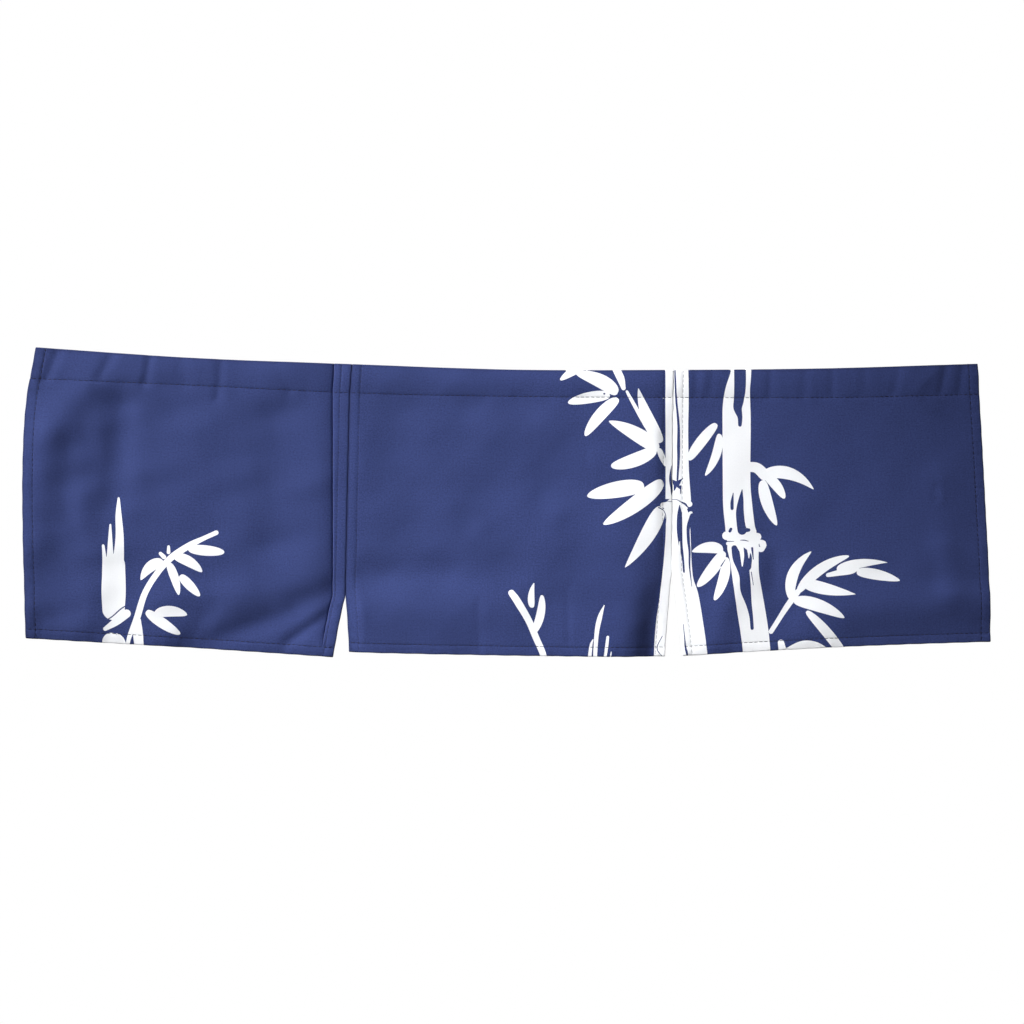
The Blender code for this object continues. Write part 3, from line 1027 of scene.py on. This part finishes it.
def flat_sheet(number):
    """Triangles of the flat cloth, cut along the print: points, triangles and their colours."""
    columns, rows = grid_lines(number)
    outline = cut_where_lines_cross(number, sheet_outline(number), columns, rows)
    printed = print_outlines(number)
    points = [counter_clockwise(outline)]
    points += [counter_clockwise(shape) for _, shape in printed]
    faces = []
    start = 0
    for part in points:
        faces.append(list(range(start, start + len(part))))
        start += len(part)
    fixed = np.vstack(points)
    u, v = (part.ravel() for part in np.meshgrid(columns, rows))
    grid = np.stack([follow_crease(number, u, v), v], axis=1)
    grid = grid[inside(grid, outline)]
    grid = grid[clear_of(grid, fixed, CLEAR_OF_OUTLINE)]
    every = [Vector(point) for point in np.vstack([fixed, grid])]
    found, _, triangles, _, _, covers = delaunay_2d_cdt(every, [], faces, 0, SAME_PLACE)
    colours = [NAVY] + [colour for colour, _ in printed]
    kept = [(face, colours[max(cover)]) for face, cover in zip(triangles, covers) if 0 in cover]
    triangles = np.array([face for face, _ in kept])
    used, triangles = np.unique(triangles, return_inverse=True)
    flat = np.array([tuple(found[i]) for i in used])
    return flat, triangles.reshape(-1, 3), np.array([colour for _, colour in kept])


# -------- meshes


def mesh_object(name, points, faces, materials, collection):
    """A mesh object from points in mm."""
    data = bpy.data.meshes.new(name)
    data.from_pydata((np.asarray(points) * MM).tolist(), [], faces)
    for material in materials:
        data.materials.append(material)
    data.shade_smooth()
    piece = bpy.data.objects.new(name, data)
    collection.objects.link(piece)
    return piece


def rim_quads(triangles, count):
    """Faces that close the cloth's thickness along its cut edges, and the triangle beside each."""
    seen = {}
    for index, (a, b, c) in enumerate(triangles.tolist()):
        for edge in ((a, b), (b, c), (c, a)):
            seen[edge] = index
    rim = [(edge, index) for edge, index in seen.items() if (edge[1], edge[0]) not in seen]
    return [(a, b, b + count, a + count) for (a, b), _ in rim], [index for _, index in rim]


def make_cloth(number, materials, collection):
    """One panel of cloth, folded up, with its printed face, its reverse and its cut edges."""
    flat, triangles, colours = flat_sheet(number)
    count = len(flat)
    point, face = cloth_frame(number, flat[:, 0], flat[:, 1])
    both = np.vstack([point + face * CLOTH / 2.0, point - face * CLOTH / 2.0])
    rims, beside = rim_quads(triangles, count)
    faces = triangles[:, ::-1].tolist() + (triangles + count).tolist() + rims
    name = PANELS[number].name.replace("panel", "cloth")
    piece = mesh_object(name, both, faces, materials, collection)
    slots = np.concatenate([colours, colours + REVERSE, colours[beside]]).astype(np.int32)
    piece.data.polygons.foreach_set("material_index", slots)
    add_maps(piece.data, number, flat)
    return piece


# Room round each half of the map to bake through, and how far in from a fold painted shade darkens it.
BAKE_MARGIN = 0.01
FOLD_SHADE_REACH = 0.9
FOLD_SHADE_REACH_TOP = 1.1


def add_maps(data, number, flat):
    """The cloth's own coordinates in metres, a map to bake through, and painted shade at its folded
    edges.
    """
    count = len(flat)
    corner = np.zeros(len(data.loops), np.int32)
    data.loops.foreach_get("vertex_index", corner)
    low = flat.min(axis=0)
    share = (flat - low) / (flat.max(axis=0) - low)
    on_face = BAKE_MARGIN + share * (1.0 - 2.0 * BAKE_MARGIN, 0.5 - 2.0 * BAKE_MARGIN)
    on_back = on_face + (0.0, 0.5)
    for name, values in (("OFBake", np.vstack([on_face, on_back])),
                         ("Cloth", np.vstack([flat, flat]) * MM)):
        layer = data.uv_layers.new(name=name)
        layer.uv.foreach_set("vector", values[corner].astype(np.float32).ravel())
    u, v = flat.T
    width = WIDTHS[number]
    # Painted shade at the folded edges, where the cloth turns away, with the denser pressed cloth there.
    edges = sum(bump(inward, FOLD_SHADE_REACH) for inward in (u, width - u, LENGTH - v))
    edges += bump(v, FOLD_SHADE_REACH_TOP)
    edge = data.attributes.new("edge", "FLOAT", "POINT")
    edge.data.foreach_set("value", np.concatenate([edges, edges]).clip(0.0, 1.0).astype(np.float32))


# How far from an edge of the cloth, or of a hem, each kind of seam starts and ends.
SEAM_END = 1.0
SIDE_SEAM_END = 1.5
FOOT_SEAM_END = 1.6
SEAM_PAST_POCKET = 2.5
SEAM_PAST_CORNER = 11.0


def stitch_rows(number):
    """Lines of stitches on the flat sheet: each a start, an end and the share of thread that shows."""
    width = WIDTHS[number]
    turned = (math.pi - 2.0) * LAYER
    rows = []
    shows = [TIGHT_THREAD if slit_beside(number, edge) else 1.0 for edge in (LEFT, RIGHT)]
    for at, show in zip((SIDE_STITCH, width - SIDE_STITCH), shows):
        rows.append(((at, SIDE_SEAM_END - POCKET), (at, LENGTH - SIDE_SEAM_END), show))
    for at, show in zip((-SIDE_STITCH - turned, width + SIDE_STITCH + turned), shows):
        rows.append(((at, POCKET + SEAM_PAST_POCKET), (at, LENGTH - HEM_WIDTH - SEAM_END), show))
    for at, end in ((POCKET, SEAM_END), (-POCKET, SEAM_END), (LENGTH - FOOT_STITCH, FOOT_SEAM_END),
                    (LENGTH + FOOT_STITCH + turned, SEAM_PAST_CORNER)):
        rows.append(((end, at), (width - end, at), 1.0))
    return rows


def stitch_ends(rows, number):
    """Start, end and showing thread of every stitch, a little uneven in length and line."""
    uneven = np.random.default_rng(STITCH_SEED + number)
    starts = []
    ends = []
    threads = []
    for start, end, show in rows:
        start = np.array(start)
        length = np.linalg.norm(end - start)
        count = round(length / STITCH_PITCH)
        run = (end - start) / length
        beside = np.array([-run[1], run[0]])
        pitch = length / count
        for k in range(count):
            first = (k + uneven.uniform(-UNEVEN_ALONG, UNEVEN_ALONG)) * pitch + STITCH_GAP / 2.0
            last = (k + 1 + uneven.uniform(-UNEVEN_ALONG, UNEVEN_ALONG)) * pitch - STITCH_GAP / 2.0
            for along, found in ((first, starts), (last, ends)):
                off = uneven.uniform(-UNEVEN_BESIDE, UNEVEN_BESIDE)
                found.append(start + run * along + beside * off)
            threads.append(THREAD * show)
    return np.array(starts), np.array(ends), np.array(threads)[:, None]


def tube_faces(rings, sides):
    """Faces of a closed tube whose points run round one ring after another."""
    corner = np.arange(sides)
    after = np.roll(corner, -1)
    quads = np.stack([corner, after, after + sides, corner + sides], axis=1)
    walls = [quad for ring in range(rings - 1) for quad in (quads + ring * sides).tolist()]
    return walls + [corner[::-1].tolist(), (corner + (rings - 1) * sides).tolist()]


def make_stitches(number, material, collection):
    """Every stitch of a panel as a short thread that comes up from one hole and dives into the next."""
    starts, ends, threads = stitch_ends(stitch_rows(number), number)
    flat = starts[:, None] + (ends - starts)[:, None] * STITCH_SHARES[:, None]
    point, face = cloth_frame(number, flat[..., 0].ravel(), flat[..., 1].ravel())
    point = point.reshape(*flat.shape[:2], 3)
    face = face.reshape(*flat.shape[:2], 3)
    centre = point + face * (CLOTH / 2.0 + threads * STITCH_LIFTS)[..., None]
    run = unit(np.gradient(centre, axis=1))
    beside = unit(np.cross(run, face))
    up = np.cross(beside, run)
    angles = np.arange(THREAD_SIDES)[:, None] * 2.0 * math.pi / THREAD_SIDES
    ring = np.cos(angles) * beside[:, :, None] + np.sin(angles) * up[:, :, None]
    rings = centre[:, :, None] + ring * (threads * STITCH_RADII)[..., None, None]
    tube = tube_faces(len(STITCH_SHARES), THREAD_SIDES)
    first_points = range(0, rings.size // 3, len(STITCH_SHARES) * THREAD_SIDES)
    faces = [[first + k for k in corners] for first in first_points for corners in tube]
    name = PANELS[number].name.replace("panel", "stitches")
    return mesh_object(name, rings.reshape(-1, 3), faces, [material], collection)


# -------- materials

# Distance between yarns, in metres. Scales of noise, to the metre: from one yarn to the next, along
# a yarn, of blotches of painted wrinkle shade, and of fine grain.
WEAVE_PITCH = 0.00046
YARN_SCALE = 1500.0
YARN_RUN = 24.0
CLOUD_SCALE = 14.0
CLOUD_DETAIL = 4.0
GRAIN_SCALE = 720.0
# How blunt a yarn's crown is, its painted shade, darker where it dives between yarns and lighter on
# its crown, and its roughness from where it dives to its crown.
CROWN_POWER = 0.6
CROWN_PAINTED_SHADE = (0.88, 1.04)
CROWN_ROUGHNESS = (0.92, 0.78)
# Strength of the relief, and its height in metres.
WEAVE_RELIEF = (0.45, 0.00012)
# Lint: scale of the places where a speck may lie, a speck's size there, and how rare they are.
LINT_SCALE = 55.0
LINT_SIZE = 0.014
LINT_CLUSTERS = 40.0
LINT_RARITY = 0.62
LINT_COLOUR = (0.42, 0.47, 0.60, 1.0)
THREAD_COLOUR = (0.010, 0.010, 0.026)
PLY_SCALE = 3200.0
PLY_SHADE = (0.6, 1.4)
PLY_RELIEF = (0.4, 0.0001)

# The cloth's four finishes: its colour, its colour at folded edges, darker there as painted shade
# where the cloth turns away and as denser pressed cloth, and how much blotches of painted wrinkle
# shade, uneven yarns, grain and lint change it.
Fabric = namedtuple("Fabric", "name colour pressed mottle yarn grain lint")
FABRICS = (
    Fabric("navy_face", (0.0262, 0.0396, 0.1340), (0.014, 0.021, 0.075), 0.05, 0.08, 0.42, 1.0),
    Fabric("white_face", (0.782, 0.794, 0.820), (0.70, 0.71, 0.73), 0.015, 0.012, 0.03, 0.0),
    Fabric("navy_reverse", (0.037, 0.053, 0.152), (0.018, 0.027, 0.085), 0.08, 0.09, 0.4, 1.0),
    Fabric("white_reverse", (0.700, 0.715, 0.750), (0.66, 0.67, 0.70), 0.03, 0.015, 0.04, 0.0),
)


class Nodes:
    """Short ways to add and join the nodes of a material or world, which end in its main node."""

    def __init__(self, owner, main):
        owner.use_nodes = True
        self.tree = owner.node_tree
        self.main = self.tree.nodes[main]

    def feed(self, node, inputs):
        """Set a node's inputs, or join them where the value is another node's output."""
        for key, value in inputs.items():
            if isinstance(value, bpy.types.NodeSocket):
                self.tree.links.new(value, node.inputs[key])
            else:
                node.inputs[key].default_value = value

    def add(self, kind, inputs=None, output=0, **settings):
        """Add a node with these inputs and settings, and give one of its outputs."""
        node = self.tree.nodes.new("ShaderNode" + kind)
        for name, value in settings.items():
            setattr(node, name, value)
        self.feed(node, inputs or {})
        return node.outputs[output]

    def math(self, operation, *values):
        return self.add("Math", dict(enumerate(values)), operation=operation)

    def noise(self, place, scale, detail, stretch=(1.0, 1.0, 1.0)):
        stretched = self.add("Mapping", {"Vector": place, "Scale": stretch})
        return self.add("TexNoise", {"Vector": stretched, "Scale": scale, "Detail": detail}, "Fac")

    def tint(self, colour, factor, low, high):
        """Scale a colour's brightness from low to high as the factor goes from 0 to 1."""
        scale = self.add("MapRange", {"Value": factor, "To Min": low, "To Max": high})
        return self.add("VectorMath", {0: colour, "Scale": scale}, operation="SCALE")

    def blend(self, factor, first, second):
        return self.add("Mix", {"Factor": factor, 6: first, 7: second}, 2, data_type="RGBA")

    def emboss(self, height, strength, distance):
        """Give the surface a fine relief."""
        relief = self.add("Bump", {"Height": height, "Strength": strength, "Distance": distance})
        self.feed(self.main, {"Normal": relief})


def make_fabric(fabric):
    """Plain-woven cloth: crossing, uneven yarns; painted shade in blotches, in the weave and at folds; a
    little lint.
    """
    material = bpy.data.materials.new(fabric.name)
    nodes = Nodes(material, "Principled BSDF")
    cloth = nodes.add("UVMap", uv_map="Cloth")
    waves = []
    for axis in "XY":
        along = nodes.add("SeparateXYZ", {0: cloth}, axis)
        waves.append(nodes.math("SINE", nodes.math("MULTIPLY", along, math.pi / WEAVE_PITCH)))
    crossing = nodes.math("MULTIPLY", *waves)
    crown = nodes.math("POWER", nodes.math("ABSOLUTE", crossing), CROWN_POWER)
    over = nodes.math("MULTIPLY_ADD", crossing, 0.5, 0.5)
    warp = nodes.noise(cloth, 1.0, 1.0, (YARN_SCALE, YARN_RUN, 1.0))
    weft = nodes.noise(cloth, 1.0, 1.0, (YARN_RUN, YARN_SCALE, 1.0))
    clouds = nodes.noise(cloth, CLOUD_SCALE, CLOUD_DETAIL)
    grain = nodes.noise(cloth, GRAIN_SCALE, 1.0)
    shade = fabric.colour
    # The blotches (clouds, mottle) are painted shade of small soft wrinkles.
    for factor, change in ((clouds, fabric.mottle), (warp, fabric.yarn), (weft, fabric.yarn),
                           (over, fabric.yarn), (grain, fabric.grain)):
        shade = nodes.tint(shade, factor, 1.0 - change, 1.0 + change)
    # Painted shade in the weave: darker where a yarn dives, a little lighter on its crown.
    shade = nodes.tint(shade, crown, *CROWN_PAINTED_SHADE)
    # Painted shade: near a folded edge the colour goes over to the darker pressed colour.
    edge = nodes.add("Attribute", None, "Fac", attribute_name="edge")
    shade = nodes.blend(edge, shade, (*fabric.pressed, 1.0))

    specks = nodes.add("TexVoronoi", {"Vector": cloth, "Scale": LINT_SCALE}, "Distance")
    near_speck = nodes.math("LESS_THAN", specks, LINT_SIZE)
    rare = nodes.math("GREATER_THAN", nodes.noise(cloth, LINT_CLUSTERS, 0.0), LINT_RARITY)
    is_lint = nodes.math("MULTIPLY", nodes.math("MULTIPLY", near_speck, rare), fabric.lint)
    low, high = CROWN_ROUGHNESS
    nodes.feed(nodes.main, {
        "Base Color": nodes.blend(is_lint, shade, LINT_COLOUR),
        "Roughness": nodes.add("MapRange", {"Value": crown, "To Min": low, "To Max": high}),
        "Specular IOR Level": 0.15,
        "Sheen Weight": 0.05,
        "Sheen Roughness": 0.5,
    })
    nodes.emboss(crown, *WEAVE_RELIEF)
    return material


def make_thread():
    """Dark sewing thread, its plies running round it."""
    material = bpy.data.materials.new("sewing_thread")
    nodes = Nodes(material, "Principled BSDF")
    plies = nodes.noise(nodes.add("TexCoord", None, "Object"), PLY_SCALE, 2.0)
    nodes.feed(nodes.main, {
        "Base Color": nodes.tint(THREAD_COLOUR, plies, *PLY_SHADE),
        "Roughness": 0.7,
        "Specular IOR Level": 0.25,
    })
    nodes.emboss(plies, *PLY_RELIEF)
    return material


# -------- the studio

# Lengths are in metres. The lamp, its aim and the camera's aim are measured from the middle of the
# curtain's box, and the floor's drop from its lowest point.
FLOOR_DROP = 1.2
FLOOR_SIZE = 5.0
FLOOR_COLOUR = (0.86, 0.86, 0.86)
FLOOR_SHADE = (0.985, 1.015)
FLOOR_GRAIN = 3.0
FLOOR_GLOW = 0.62
WHITE_LIGHT = (1.0, 1.0, 1.0, 1.0)
FILL_STRENGTH = 0.31
KEY_PLACE = (-1.3, -0.8, 1.2)
KEY_AIM = (-0.09, 0.0, 0.015)
KEY_SIZE = 0.7
KEY_SPREAD = math.radians(18.0)
KEY_POWER = 4.2
CAMERA_DISTANCE = 1.95
CAMERA_AZIMUTH = math.radians(-4.5)
CAMERA_LENS = 78.0
CAMERA_AIM = (-0.003, 0.0, -0.007)


def placed(name, data):
    """A new object in the scene, outside the curtain's collection."""
    thing = bpy.data.objects.new(name, data)
    bpy.context.scene.collection.objects.link(thing)
    return thing


def aim(thing, target):
    """Point a lamp or camera at a place."""
    thing.rotation_euler = (target - thing.location).to_track_quat("-Z", "Y").to_euler()


def make_floor():
    """Plain pale floor, well below the curtain. Like the world, it looks paler than it lights."""
    material = bpy.data.materials.new("pale_floor")
    nodes = Nodes(material, "Principled BSDF")
    grain = nodes.noise(nodes.add("TexCoord", None, "Object"), FLOOR_GRAIN, 2.0)
    seen = nodes.add("LightPath", None, "Is Camera Ray")
    nodes.feed(nodes.main, {
        "Base Color": nodes.tint(FLOOR_COLOUR, grain, *FLOOR_SHADE),
        "Roughness": 0.9,
        "Specular IOR Level": 0.1,
        "Emission Color": WHITE_LIGHT,
        "Emission Strength": nodes.math("MULTIPLY", seen, FLOOR_GLOW),
    })
    low = cad_box[0][2] - FLOOR_DROP
    half = FLOOR_SIZE / 2.0
    points = [(x, y, low) for x, y in ((-half, -half), (half, -half), (half, half), (-half, half))]
    data = bpy.data.meshes.new("floor")
    data.from_pydata(points, [], [(0, 1, 2, 3)])
    data.materials.append(material)
    placed("floor", data)


def make_key(centre):
    """A soft square lamp whose grille keeps its light within a cone."""
    light = bpy.data.lights.new("key", "AREA")
    light.size = KEY_SIZE
    light.spread = KEY_SPREAD
    light.energy = KEY_POWER
    lamp = placed("key", light)
    lamp.location = centre + Vector(KEY_PLACE)
    aim(lamp, centre + Vector(KEY_AIM))


def make_world():
    """Even pale light from all round, which the camera itself sees as plain white."""
    world = bpy.data.worlds.new("studio")
    bpy.context.scene.world = world
    nodes = Nodes(world, "World Output")
    seen = nodes.tree.nodes["Background"]
    nodes.feed(seen, {"Color": WHITE_LIGHT, "Strength": 1.0})
    fill = nodes.add("Background", {"Color": WHITE_LIGHT, "Strength": FILL_STRENGTH})
    is_seen = nodes.add("LightPath", None, "Is Camera Ray")
    mixed = nodes.add("MixShader", {0: is_seen, 1: fill, 2: seen.outputs[0]})
    nodes.feed(nodes.main, {"Surface": mixed})


def make_camera(centre):
    """The camera, standing where the photo was taken from."""
    camera = placed("camera", bpy.data.cameras.new("camera"))
    camera.data.lens = CAMERA_LENS
    target = centre + Vector(CAMERA_AIM)
    away = Vector((math.sin(CAMERA_AZIMUTH), -math.cos(CAMERA_AZIMUTH), 0.0))
    camera.location = target + away * CAMERA_DISTANCE
    aim(camera, target)
    bpy.context.scene.camera = camera


def make_studio():
    """World, floor, lamp and camera round the curtain's box."""
    centre = (Vector(cad_box[0]) + Vector(cad_box[1])) / 2.0
    make_world()
    make_floor()
    make_key(centre)
    make_camera(centre)
    bpy.context.scene.view_settings.view_transform = "Standard"


# -------- the curtain


def make_curtain():
    """The three panels and their stitches, each with its materials and attached to the root; the solid
    that each panel stands in for is hidden.
    """
    collection = bpy.data.collections.new("Noren curtain")
    bpy.context.scene.collection.children.link(collection)
    fabrics = [make_fabric(fabric) for fabric in FABRICS]
    thread = make_thread()
    for number, panel in enumerate(PANELS):
        cloth = make_cloth(number, fabrics, collection)
        stitches = make_stitches(number, thread, collection)
        for piece in (cloth, stitches):
            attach(piece, "root")
        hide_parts(panel.name)


make_studio()
make_curtain()
